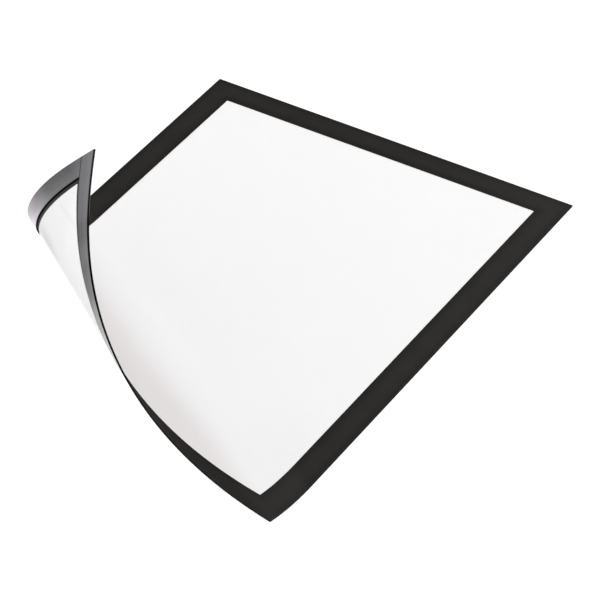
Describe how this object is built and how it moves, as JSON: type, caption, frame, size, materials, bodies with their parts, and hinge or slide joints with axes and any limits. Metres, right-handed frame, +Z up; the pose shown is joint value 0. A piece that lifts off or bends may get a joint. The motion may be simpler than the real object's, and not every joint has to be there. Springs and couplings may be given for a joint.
{
  "type": "magnetic photo frame",
  "caption": "Flexible magnetic photo frame: milky window film behind a matte black border, magnet strips taped round its back, a corner peeled up and curled over a blank insert sheet that slides out.",
  "frame": {"origin": "middle of the frame's flat outline, on the plane of the magnet strips' backs, which is the board or table it lies on", "axes": "+Z up out of the front face, +Y along the long side towards the flat end, +X along the short side away from the peeled corner"},
  "size_m": [0.2365, 0.3227, 0.1163],
  "materials": {
    "film": "satin",
    "border": "matte",
    "magnet": "satin",
    "tape": "satin",
    "insert": "matte"
  },
  "bodies": {
    "frame": {"window_film": "film", "border": "border", "magnet_strip_top": "magnet", "magnet_strip_bottom": "magnet", "magnet_strip_left": "magnet", "magnet_strip_right": "magnet", "tape_top": "tape", "tape_bottom": "tape", "tape_left": "tape", "tape_right": "tape"},
    "insert": {"insert_sheet": "insert"}
  },
  "joints": [
    {"name": "insert_slide", "type": "slide", "parent": "frame", "child": "insert", "axis": [0, -1, 0], "range_m": [0, 0.31]}
  ]
}
